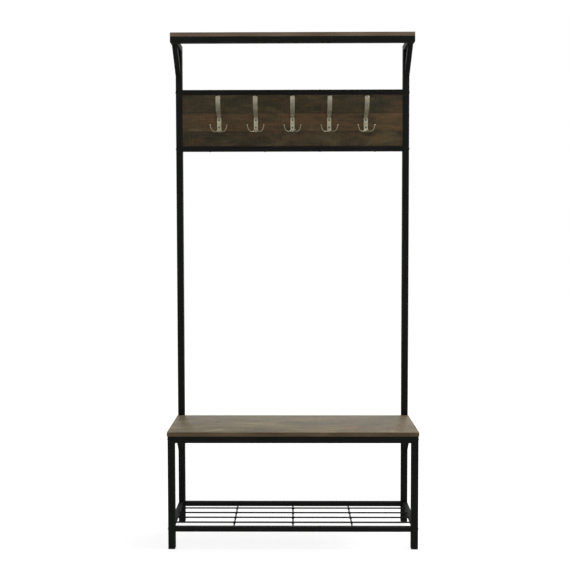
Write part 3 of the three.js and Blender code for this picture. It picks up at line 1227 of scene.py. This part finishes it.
@dataclass
class Brace:
    """A diagonal tube from a post up to the underside of a beam."""

    node: str
    size: float = 19.0 * MM
    weld_gap: float = 2.0 * MM

    def make(self, finishes: Finishes, bench: Workbench) -> None:
        """Builds the brace and the welds at its ends.

        Args:
            finishes: The materials.
            bench: The mesh that collects the welds.
        """
        low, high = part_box(self.node)
        middle = (low.x + high.x) / 2
        span = self.size * math.sqrt(2.0)
        start = Vector((middle, high.y, low.z + span / 2))
        end = Vector((middle, low.y + span / 2, high.z))
        tube = Workbench()
        TubeStock(self.size, self.size).lay(tube, start, end, X_AXIS.copy(), Y_AXIS.copy(),
                                            Z_AXIS.copy())
        tube.finish(f"{self.node}_tube", finishes.steel, "black_steel", (self.node,))
        inner = low.x if abs(low.x) < abs(high.x) else high.x
        gap = self.weld_gap
        for offset, (first, last) in enumerate((
                ((inner, high.y, low.z + gap), (inner, high.y, low.z + span - gap)),
                ((inner, low.y + gap, high.z), (inner, low.y + span - gap, high.z)),
                ((low.x + gap, high.y, low.z), (high.x - gap, high.y, low.z)),
                ((low.x + gap, low.y, high.z), (high.x - gap, low.y, high.z)))):
            WeldRun().add(bench, Vector(first), Vector(last), offset + len(self.node))


def end_welds(bench: Workbench, node: str, seed: int) -> None:
    """Adds beads inside and below both ends of a side beam.

    Args:
        bench: The mesh that collects the welds.
        node: The beam, which runs from front to rear.
        seed: The number that fixes the first bead's unevenness.
    """
    low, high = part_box(node)
    inner = low.x if abs(low.x) < abs(high.x) else high.x
    for y, first_seed in ((low.y, seed), (high.y, seed + 7)):
        runs = (((inner, y, low.z + MM), (inner, y, high.z - MM)),
                ((low.x + MM, y, low.z), (high.x - MM, y, low.z)))
        for offset, (first, last) in enumerate(runs):
            WeldRun().add(bench, Vector(first), Vector(last), first_seed + offset)


@dataclass
class Bench:
    """The seat: its frame, its two braces and its board."""

    screws: int = 4
    screw_turn: float = 0.7
    weld_seed: int = 20

    def make(self, finishes: Finishes) -> None:
        """Builds the seat.

        Args:
            finishes: The materials.
        """
        Bar("seat_front_beam", Axis.ACROSS).make(finishes.steel)
        Bar("seat_rear_beam", Axis.ACROSS).make(finishes.steel)
        Bar("seat_left_beam", Axis.DEEP).make(finishes.steel)
        Bar("seat_right_beam", Axis.DEEP).make(finishes.steel)
        welds = Workbench()
        for seed, side in enumerate(("left", "right")):
            Brace(f"{side}_seat_brace").make(finishes, welds)
            end_welds(welds, f"seat_{side}_beam", self.weld_seed + seed)
        welds.finish("seat_welds", finishes.steel, "black_steel", sharp=60.0)
        Board("seat_board", "laminate").make(finishes.seat, finishes.band)
        self._fasteners(finishes)

    def _fasteners(self, finishes: Finishes) -> None:
        """Builds the bolts through the legs and the screws up into the board.

        Args:
            finishes: The materials.
        """
        bolts = Workbench()
        low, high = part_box("seat_front_beam")
        leg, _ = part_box("left_front_leg")
        for _, sign in SIDES:
            place = Vector((sign * abs(leg.x), (low.y + high.y) / 2, (low.z + high.z) / 2))
            ButtonBolt().add(bolts, place, X_AXIS * sign)
        bolts.finish("seat_bolts", finishes.bolt, "black_steel")
        screws = Workbench()
        for node in ("seat_front_beam", "seat_rear_beam"):
            screw_row(screws, node, self.screws, self.screw_turn, -Z_AXIS)
        screws.finish("seat_board_screws", finishes.zinc, "screw_steel")


@dataclass
class ShoeRack:
    """The low frame with its long and cross wires."""

    wire: float = 6.0 * MM
    sides: int = 16
    steps: int = 24
    long_wires: int = 4
    cross_wires: int = 3
    crossing_weld: Place = (4.9 * MM, 4.9 * MM, 3.6 * MM)
    long_end_weld: Place = (1.6 * MM, 4.0 * MM, 3.9 * MM)
    cross_end_weld: Place = (4.0 * MM, 1.6 * MM, 3.7 * MM)
    weld_seed: int = 40
    spot_seed: int = 100

    def make(self, finishes: Finishes) -> None:
        """Builds the rack.

        Args:
            finishes: The materials.
        """
        Bar("rack_front_beam", Axis.ACROSS).make(finishes.steel)
        Bar("rack_rear_beam", Axis.ACROSS).make(finishes.steel)
        welds = Workbench()
        for seed, side in enumerate(("left", "right")):
            Bar(f"rack_{side}_beam", Axis.DEEP).make(finishes.steel)
            end_welds(welds, f"rack_{side}_beam", self.weld_seed + seed)
        long_wires = [f"rack_long_wire_{index + 1}" for index in range(self.long_wires)]
        cross_wires = [f"rack_cross_wire_{index + 1}" for index in range(self.cross_wires)]
        for node in long_wires:
            self._wire(node, Axis.ACROSS, finishes)
        for node in cross_wires:
            self._wire(node, Axis.DEEP, finishes)
        self._spots(welds, long_wires, cross_wires)
        welds.finish("rack_welds", finishes.steel, "black_steel", sharp=60.0)
        self._bolts(finishes)

    def _wire(self, node: str, axis: Axis, finishes: Finishes) -> None:
        """Builds one straight wire.

        Args:
            node: The solid wire it stands for.
            axis: The direction it runs in.
            finishes: The materials.
        """
        low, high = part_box(node)
        start = (low + high) / 2
        end = start.copy()
        start[axis.value], end[axis.value] = low[axis.value], high[axis.value]
        points = [start.lerp(end, index / self.steps) for index in range(self.steps + 1)]
        bench = Workbench()
        bench.sweep(run(points, [self.wire / 2] * len(points), self.sides, Z_AXIS))
        bench.finish(f"{node}_rod", finishes.steel, "black_wire", (node,))

    def _spots(self, bench: Workbench, long_wires: Sequence[str],
               cross_wires: Sequence[str]) -> None:
        """Adds the blobs at the crossings and at the wires' ends.

        Args:
            bench: The mesh that collects the welds.
            long_wires: The wires along the width.
            cross_wires: The wires along the depth.
        """
        seed = self.spot_seed
        for long_wire in long_wires:
            low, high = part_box(long_wire)
            y, z = (low.y + high.y) / 2, (low.z + high.z) / 2
            for cross_wire in cross_wires:
                first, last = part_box(cross_wire)
                seed += 1
                place = Vector(((first.x + last.x) / 2, y, z - self.wire / 2))
                WeldSpot(self.crossing_weld).add(bench, place, seed)
            for x in (low.x, high.x):
                seed += 1
                WeldSpot(self.long_end_weld).add(bench, Vector((x, y, z)), seed)
        for cross_wire in cross_wires:
            low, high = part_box(cross_wire)
            for y in (low.y, high.y):
                seed += 1
                place = Vector(((low.x + high.x) / 2, y, (low.z + high.z) / 2))
                WeldSpot(self.cross_end_weld).add(bench, place, seed)

    def _bolts(self, finishes: Finishes) -> None:
        """Builds the bolts through the legs into the front and rear beams.

        Args:
            finishes: The materials.
        """
        bench = Workbench()
        leg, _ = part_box("left_front_leg")
        for _, sign in SIDES:
            for node in ("rack_front_beam", "rack_rear_beam"):
                low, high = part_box(node)
                place = Vector((sign * abs(leg.x), (low.y + high.y) / 2, (low.z + high.z) / 2))
                ButtonBolt(radius=4.6 * MM, height=1.8 * MM).add(bench, place, X_AXIS * sign)
        bench.finish("rack_bolts", finishes.bolt, "black_steel")


@dataclass
class TopShelf:
    """The shelf board on its U-shaped frame and two braces."""

    screws: int = 4
    screw_turn: float = 0.9
    brace_bolt_height: float = 14.0 * MM

    def make(self, finishes: Finishes) -> None:
        """Builds the shelf.

        Args:
            finishes: The materials.
        """
        self._beams(finishes)
        welds = Workbench()
        for side in ("left", "right"):
            Brace(f"{side}_shelf_brace").make(finishes, welds)
        welds.finish("shelf_welds", finishes.steel, "black_steel", sharp=60.0)
        # The shelf board wears the seat's laminate with its painted light, and the lighter band with
        # painted light on its front edge.
        Board("shelf_board", "laminate").make(finishes.seat, finishes.shelf_band_painted_light)
        self._fasteners(finishes)

    def _beams(self, finishes: Finishes) -> None:
        """Builds the three beams with mitred front corners.

        Args:
            finishes: The materials.
        """
        low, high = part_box("shelf_front_beam")
        half = (high.y - low.y) / 2
        stock = TubeStock(high.y - low.y, high.z - low.z)
        y, z = low.y + half, (low.z + high.z) / 2
        bench = Workbench()
        stock.lay(bench, Vector((low.x + half, y, z)), Vector((high.x - half, y, z)),
                  Y_AXIS.copy(), Vector((1.0, -1.0, 0.0)), Vector((1.0, 1.0, 0.0)))
        bench.finish("shelf_front_beam_tube", finishes.steel, "black_steel", ("shelf_front_beam",))
        for side, sign in SIDES:
            first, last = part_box(f"shelf_{side}_beam")
            x = (first.x + last.x) / 2
            bench = Workbench()
            stock.lay(bench, Vector((x, first.y + half, z)), Vector((x, last.y, z)),
                      X_AXIS.copy(), Vector((sign, 1.0, 0.0)))
            bench.finish(f"shelf_{side}_beam_tube", finishes.steel, "black_steel",
                         (f"shelf_{side}_beam",))

    def _fasteners(self, finishes: Finishes) -> None:
        """Builds the bolts through the posts and the screws up into the board.

        Args:
            finishes: The materials.
        """
        bolts = Workbench()
        for side, _ in SIDES:
            post_low, post_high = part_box(f"{side}_upper_post")
            beam_low, beam_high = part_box(f"shelf_{side}_beam")
            x = (post_low.x + post_high.x) / 2
            place = Vector((x, post_high.y, (beam_low.z + beam_high.z) / 2))
            ButtonBolt().add(bolts, place, Y_AXIS.copy())
            brace_low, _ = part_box(f"{side}_shelf_brace")
            place = Vector((x, post_high.y, brace_low.z + self.brace_bolt_height))
            ButtonBolt().add(bolts, place, Y_AXIS.copy())
        bolts.finish("shelf_bolts", finishes.bolt, "black_steel")
        screws = Workbench()
        screw_row(screws, "shelf_front_beam", self.screws, self.screw_turn, -Z_AXIS)
        screws.finish("shelf_board_screws", finishes.zinc, "screw_steel")


@dataclass
class HookPanel:
    """The board that carries the hooks, between its two rails."""

    screws: int = 4
    screw_turn: float = 0.8

    def make(self, finishes: Finishes) -> None:
        """Builds the panel.

        Args:
            finishes: The materials.
        """
        Bar("upper_hook_rail", Axis.ACROSS).make(finishes.steel)
        Bar("lower_hook_rail", Axis.ACROSS).make(finishes.steel)
        Board("hook_panel", "panel_laminate").make(finishes.panel, finishes.band)
        self._fasteners(finishes)

    def _fasteners(self, finishes: Finishes) -> None:
        """Builds the bolts through the posts and the screws through the rails.

        Args:
            finishes: The materials.
        """
        bolts = Workbench()
        screws = Workbench()
        post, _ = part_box("left_upper_post")
        for node, out in (("upper_hook_rail", Z_AXIS), ("lower_hook_rail", -Z_AXIS)):
            low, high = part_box(node)
            for _, sign in SIDES:
                place = Vector((sign * abs(post.x), (low.y + high.y) / 2, (low.z + high.z) / 2))
                ButtonBolt().add(bolts, place, X_AXIS * sign)
            screw_row(screws, node, self.screws, self.screw_turn, out)
        bolts.finish("panel_bolts", finishes.bolt, "black_steel")
        screws.finish("panel_screws", finishes.zinc, "screw_steel")


def swell(distance: float, width: float) -> float:
    """A smooth rise that is 1 at no distance and fades over a width."""
    return math.exp(-(distance / width) ** 2)


@dataclass
class CoatHook:
    """A cast hook: back plate, long upper arm and two side prongs.

    Distances out are measured forward from the face of the panel, and heights from its lower
    edge. line_stops and prong_stops are in millimetres: the first gives out and height, the
    second across, out and height.
    """

    index: int
    thickness: float = 4.0 * MM
    plate_reach: float = 8.0 * MM
    arm_reach: float = 8.5 * MM
    arm_growth: float = 26.0 * MM
    tip_round: float = 4.2 * MM
    neck_start: float = 51.5 * MM
    neck_step: float = 1.4 * MM
    arm_thinning: float = 0.28
    edge_round: float = 2.2 * MM
    waist: float = 0.9 * MM
    waist_past_neck: float = 8.0 * MM
    waist_width: float = 6.0 * MM
    rib: float = 72.0 * MM
    rib_height: float = 1.5 * MM
    rib_width: float = 1.5 * MM
    crown: float = 0.35 * MM
    dimple: float = 6.5 * MM
    dimple_depth: float = 1.9 * MM
    dimple_radius: float = 2.0 * MM
    prong_radius: float = 2.15 * MM
    ball_radius: float = 2.7 * MM
    foot_height: float = 59.6 * MM
    foot_out: float = 3.2 * MM
    foot_size: Place = (9.4 * MM, 3.2 * MM, 6.6 * MM)
    flush: float = 0.05 * MM
    ring_step: float = 0.9 * MM
    screw_length: float = 15.0 * MM
    screw_lift: float = 0.3 * MM
    screw_turn: float = 0.5
    line_stops: tuple[tuple[float, float], ...] = (
        (2.0, 54.0), (2.0, 71.0), (2.0, 88.0), (2.0, 102.5), (4.8, 109.8), (10.5, 115.8),
        (18.5, 120.5), (36.0, 125.8), (52.5, 135.5), (61.8, 152.0), (65.2, 168.0), (66.0, 182.8))
    prong_stops: tuple[Place, ...] = (
        (2.0, 3.0, 64.0), (6.0, 7.5, 58.5), (11.5, 14.0, 55.4), (18.0, 22.0, 54.6),
        (24.5, 29.5, 57.6), (28.8, 34.5, 64.5), (31.4, 37.6, 74.5))

    def make(self, finishes: Finishes) -> None:
        """Builds the hook and its two screws.

        Args:
            finishes: The materials.
        """
        node = f"hook_{self.index}"
        low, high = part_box(node)
        panel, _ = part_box("hook_panel")
        origin = Vector(((low.x + high.x) / 2, panel.y, panel.z))
        bench = Workbench()
        self._strip(bench, origin)
        for _, sign in SIDES:
            self._prong(bench, origin, sign)
        self._foot(bench, origin)
        bench.finish(f"{node}_casting", finishes.nickel, "satin_nickel", (node,), sharp=50.0)
        for place in ("upper", "lower"):
            screw = f"{node}_{place}_screw"
            first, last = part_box(screw)
            middle = (first + last) / 2
            head = Workbench()
            base = Vector((middle.x, origin.y - self.thickness - self.screw_lift, middle.z))
            PanScrew(shank=self.screw_length, turn=self.screw_turn * self.index).add(
                head, base, -Y_AXIS)
            head.finish(f"{screw}_part", finishes.zinc, "screw_steel", (screw,))

    def _centre_line(self) -> list[Vector]:
        """The middle of the plate and arm in the side view.

        Returns:
            Evenly spaced points as out, 0 and height.
        """
        stops = [Vector((out * MM, 0.0, height * MM)) for out, height in self.line_stops]
        return even(curve(stops, 12), self.ring_step)

    def _strip(self, bench: Workbench, origin: Vector) -> None:
        """Adds the plate and arm as one crowned strip.

        Args:
            bench: The mesh being made.
            origin: The point that out and height are measured from.
        """
        line = self._centre_line()
        total = sum((b - a).length for a, b in zip(line, line[1:]))
        least_out = 0.02 * MM
        rings = []
        travelled = 0.0
        for index, point in enumerate(line):
            before, after = line[max(index - 1, 0)], line[min(index + 1, len(line) - 1)]
            if index:
                travelled += (point - line[index - 1]).length
            along = (after - before).normalized()
            normal = Vector((along.z, 0.0, -along.x))
            reach, thick, dip = self._section(travelled, total - travelled)
            ring = []
            for x, lift in self._crown(reach, thick, dip):
                side = point + normal * lift
                ring.append(origin + Vector((x, -max(side.x, least_out), side.z)))
            rings.append(ring)
        bench.sweep(rings)

    def _section(self, travelled: float, left: float) -> tuple[float, float, float]:
        """The strip's section at a distance along it.

        Args:
            travelled: The distance from the foot of the plate.
            left: The distance to the tip of the arm.

        Returns:
            The half width, the half thickness and the depth of the dimple.
        """
        past_neck = travelled - self.neck_start
        grown = min(1.0, max(0.0, past_neck / self.arm_growth))
        reach = self.plate_reach + (self.arm_reach - self.plate_reach) * grown
        reach -= self.waist * swell(past_neck - self.waist_past_neck, self.waist_width)
        if left < self.tip_round:
            drop = self.tip_round - left
            reach -= self.tip_round - math.sqrt(max(0.0, self.tip_round ** 2 - drop ** 2))
        if travelled < self.plate_reach:
            drop = self.plate_reach - travelled
            reach = math.sqrt(max(0.0, self.plate_reach ** 2 - drop ** 2)) + 0.5 * MM
        step = min(1.0, max(0.0, past_neck / self.neck_step))
        thick = self.thickness / 2 * (1.0 - self.arm_thinning * step)
        thick *= 0.45 + 0.55 * min(1.0, min(left, travelled + 2 * MM) / self.edge_round)
        thick += self.rib_height * swell(travelled - self.rib, self.rib_width)
        dip = self.dimple_depth * swell(left - self.dimple, self.dimple_radius)
        return reach, thick, dip

    def _crown(self, reach: float, thick: float, dip: float) -> list[tuple[float, float]]:
        """A strip's section: flat behind, softly crowned in front.

        Args:
            reach: The half width.
            thick: The half thickness.
            dip: The depth of the dimple in the middle.

        Returns:
            Points as distance across and distance from the middle, front positive.
        """
        soft = min(1.0 * MM, thick * 0.8, reach * 0.4)
        points = []
        for start, across, front in ((-90, 1, -1), (0, 1, 1), (90, -1, 1), (180, -1, -1)):
            for step in range(4):
                angle = math.radians(start + 30 * step)
                points.append((across * (reach - soft) + soft * math.cos(angle),
                               front * (thick - soft) + soft * math.sin(angle)))
            if (across, front) == (1, 1):
                for tenth in range(8, -9, -2):
                    share = tenth / 10
                    hollow = dip * swell(share * reach, self.dimple_radius)
                    points.append((share * reach,
                                   thick + self.crown * (1 - share * share) - hollow))
        return points

    def _prong(self, bench: Workbench, origin: Vector, sign: float) -> None:
        """Adds one thin side prong that ends in a small ball.

        Args:
            bench: The mesh being made.
            origin: The point that out and height are measured from.
            sign: The side it leans to.
        """
        path = curve([origin + Vector((sign * across, -out, height)) * MM
                      for across, out, height in self.prong_stops], 6)
        count = len(path) - 1
        radii = [self.prong_radius * (1.15 - 0.30 * index / count) for index in range(count + 1)]
        tip = (path[-1] - path[-2]).normalized()
        ball = self.ball_radius
        centre = path[-1] + tip * ball * 0.8
        ball_rings = 8
        for step in range(1, ball_rings + 1):
            angle = math.pi * (0.20 + 0.79 * step / ball_rings)
            path.append(centre - tip * ball * math.cos(angle))
            radii.append(ball * math.sin(angle))
        bench.sweep(run(path, radii, 14, Vector((-sign * 0.6, -0.3, 0.2))))

    def _foot(self, bench: Workbench, origin: Vector) -> None:
        """Adds the swelling at the foot where the prongs leave the plate.

        Args:
            bench: The mesh being made.
            origin: The point that out and height are measured from.
        """
        across, deep, tall = self.foot_size
        levels, sides = 14, 24
        rings = []
        for ring in range(1, levels):
            lift = math.pi * ring / levels
            row = []
            for side in range(sides):
                angle = 2 * math.pi * side / sides
                out = self.foot_out + deep * math.sin(lift) * math.sin(angle)
                row.append(origin + Vector((across * math.sin(lift) * math.cos(angle),
                                            -max(out, self.flush),
                                            self.foot_height + tall * math.cos(lift))))
            rings.append(row)
        bench.sweep(rings)


@dataclass
class Hooks:
    """The row of hooks."""

    count: int = 5

    def make(self, finishes: Finishes) -> None:
        """Builds every hook.

        Args:
            finishes: The materials.
        """
        for index in range(1, self.count + 1):
            CoatHook(index).make(finishes)


@dataclass(frozen=True)
class SoftLight:
    """One soft square light, with its side in metres and its power in watts."""

    name: str
    place: Place
    target: Place
    size: float
    power: float

    def hang(self) -> None:
        """Hangs the light and turns it to its target."""
        data = bpy.data.lights.new(self.name, "AREA")
        data.size = self.size
        data.energy = self.power
        lamp = bpy.data.objects.new(self.name, data)
        lamp.location = self.place
        aim = Vector(self.target) - Vector(self.place)
        lamp.rotation_euler = aim.to_track_quat("-Z", "Y").to_euler()
        bpy.context.scene.collection.objects.link(lamp)


@dataclass
class Studio:
    """The floor, the soft lights, the walls of light around and the camera.

    turn, down and roll are the camera's angles in degrees. The walls' brightness changes from
    front_wall to back_wall over wall_span, and from pit to full over pit_span: both spans are
    parts of a direction, to the rear and upwards.
    """

    lights: tuple[SoftLight, ...] = (
        SoftLight("key", (-1.7, -2.8, 3.2), (0.0, 0.0, 0.9), 1.8, 12.0),
        SoftLight("fill", (2.6, -2.4, 1.9), (0.0, 0.0, 0.9), 1.8, 5.0),
        SoftLight("top", (2.2, 0.6, 4.0), (0.25, 0.0, 0.4), 2.8, 290.0))
    front_wall: float = 0.60
    back_wall: float = 1.01
    wall_span: tuple[float, float] = (-0.35, 0.45)
    pit: float = 0.25
    pit_span: tuple[float, float] = (-0.25, -0.08)
    floor_reach: float = 40.0
    eye: Place = (-0.0021, -3.2321, 1.1408)
    turn: float = 0.472
    down: float = 2.677
    roll: float = -0.092
    lens: float = 54.647
    sensor: float = 36.0
    shift: float = -0.02
    sight: float = 100.0

    def make(self) -> None:
        """Sets up the studio."""
        self._floor()
        for light in self.lights:
            light.hang()
        self._room()
        bpy.context.scene.view_settings.view_transform = "Standard"
        self._camera()

    def _room(self) -> None:
        """Surrounds the studio with a white wall behind, a dimmer front and a dark pit below."""
        world = bpy.data.worlds.new("studio")
        world.use_nodes = True
        tree = world.node_tree
        place = tree.nodes.new("ShaderNodeTexCoord")
        split = tree.nodes.new("ShaderNodeSeparateXYZ")
        tree.links.new(place.outputs["Generated"], split.inputs[0])
        level = tree.nodes.new("ShaderNodeMath")
        level.operation = "MULTIPLY"
        for index, (axis, ends) in enumerate((
                (Axis.DEEP, (*self.wall_span, self.front_wall, self.back_wall)),
                (Axis.UPRIGHT, (*self.pit_span, self.pit, 1.0)))):
            blend = tree.nodes.new("ShaderNodeMapRange")
            blend.interpolation_type = "SMOOTHSTEP"
            for socket, number in zip(blend.inputs[1:5], ends):
                socket.default_value = number
            tree.links.new(split.outputs[axis.value], blend.inputs[0])
            tree.links.new(blend.outputs[0], level.inputs[index])
        background = tree.nodes["Background"]
        tree.links.new(level.outputs[0], background.inputs[1])
        background.inputs[0].default_value = (1.0, 1.0, 1.0, 1.0)
        bpy.context.scene.world = world

    def _floor(self) -> None:
        """Lays the floor, which mirror-like reflections don't see."""
        bench = Workbench()
        corners = ((-1, -1), (1, -1), (1, 1), (-1, 1))
        bench.cap(bench.ring([Vector((x, y, 0)) * self.floor_reach for x, y in corners]))
        data = bpy.data.meshes.new("studio_floor")
        bench.mesh.to_mesh(data)
        bench.mesh.free()
        data.materials.append(StudioFloor().material())
        floor = bpy.data.objects.new("studio_floor", data)
        bpy.context.scene.collection.objects.link(floor)
        floor.visible_glossy = False

    def _camera(self) -> None:
        """Sets up the camera."""
        data = bpy.data.cameras.new("camera")
        data.lens = self.lens
        data.sensor_width = self.sensor
        data.shift_y = self.shift
        data.clip_end = self.sight
        camera = bpy.data.objects.new("camera", data)
        look = Matrix.Rotation(math.radians(self.turn), 4, "Z")
        look @= Matrix.Rotation(math.radians(90.0 - self.down), 4, "X")
        look @= Matrix.Rotation(math.radians(self.roll), 4, "Z")
        camera.matrix_world = Matrix.Translation(self.eye) @ look
        bpy.context.scene.collection.objects.link(camera)
        bpy.context.scene.camera = camera


def main() -> None:
    """Builds the hall tree and its studio."""
    logging.basicConfig(level=logging.INFO, format="%(name)s %(message)s")
    panel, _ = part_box("hook_panel")
    seat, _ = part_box("seat_board")
    plank_width = 70.7 * MM
    cut_from_panel = 13.8 * MM
    cut_from_seat = 12.0 * MM
    finishes = Finishes(plank_width, panel.z - cut_from_panel, seat.y - cut_from_seat)
    Uprights().make(finishes)
    EndPlugs().make(finishes)
    Bench().make(finishes)
    ShoeRack().make(finishes)
    TopShelf().make(finishes)
    HookPanel().make(finishes)
    Hooks().make(finishes)
    Studio().make()


if __name__ == "__main__":
    main()
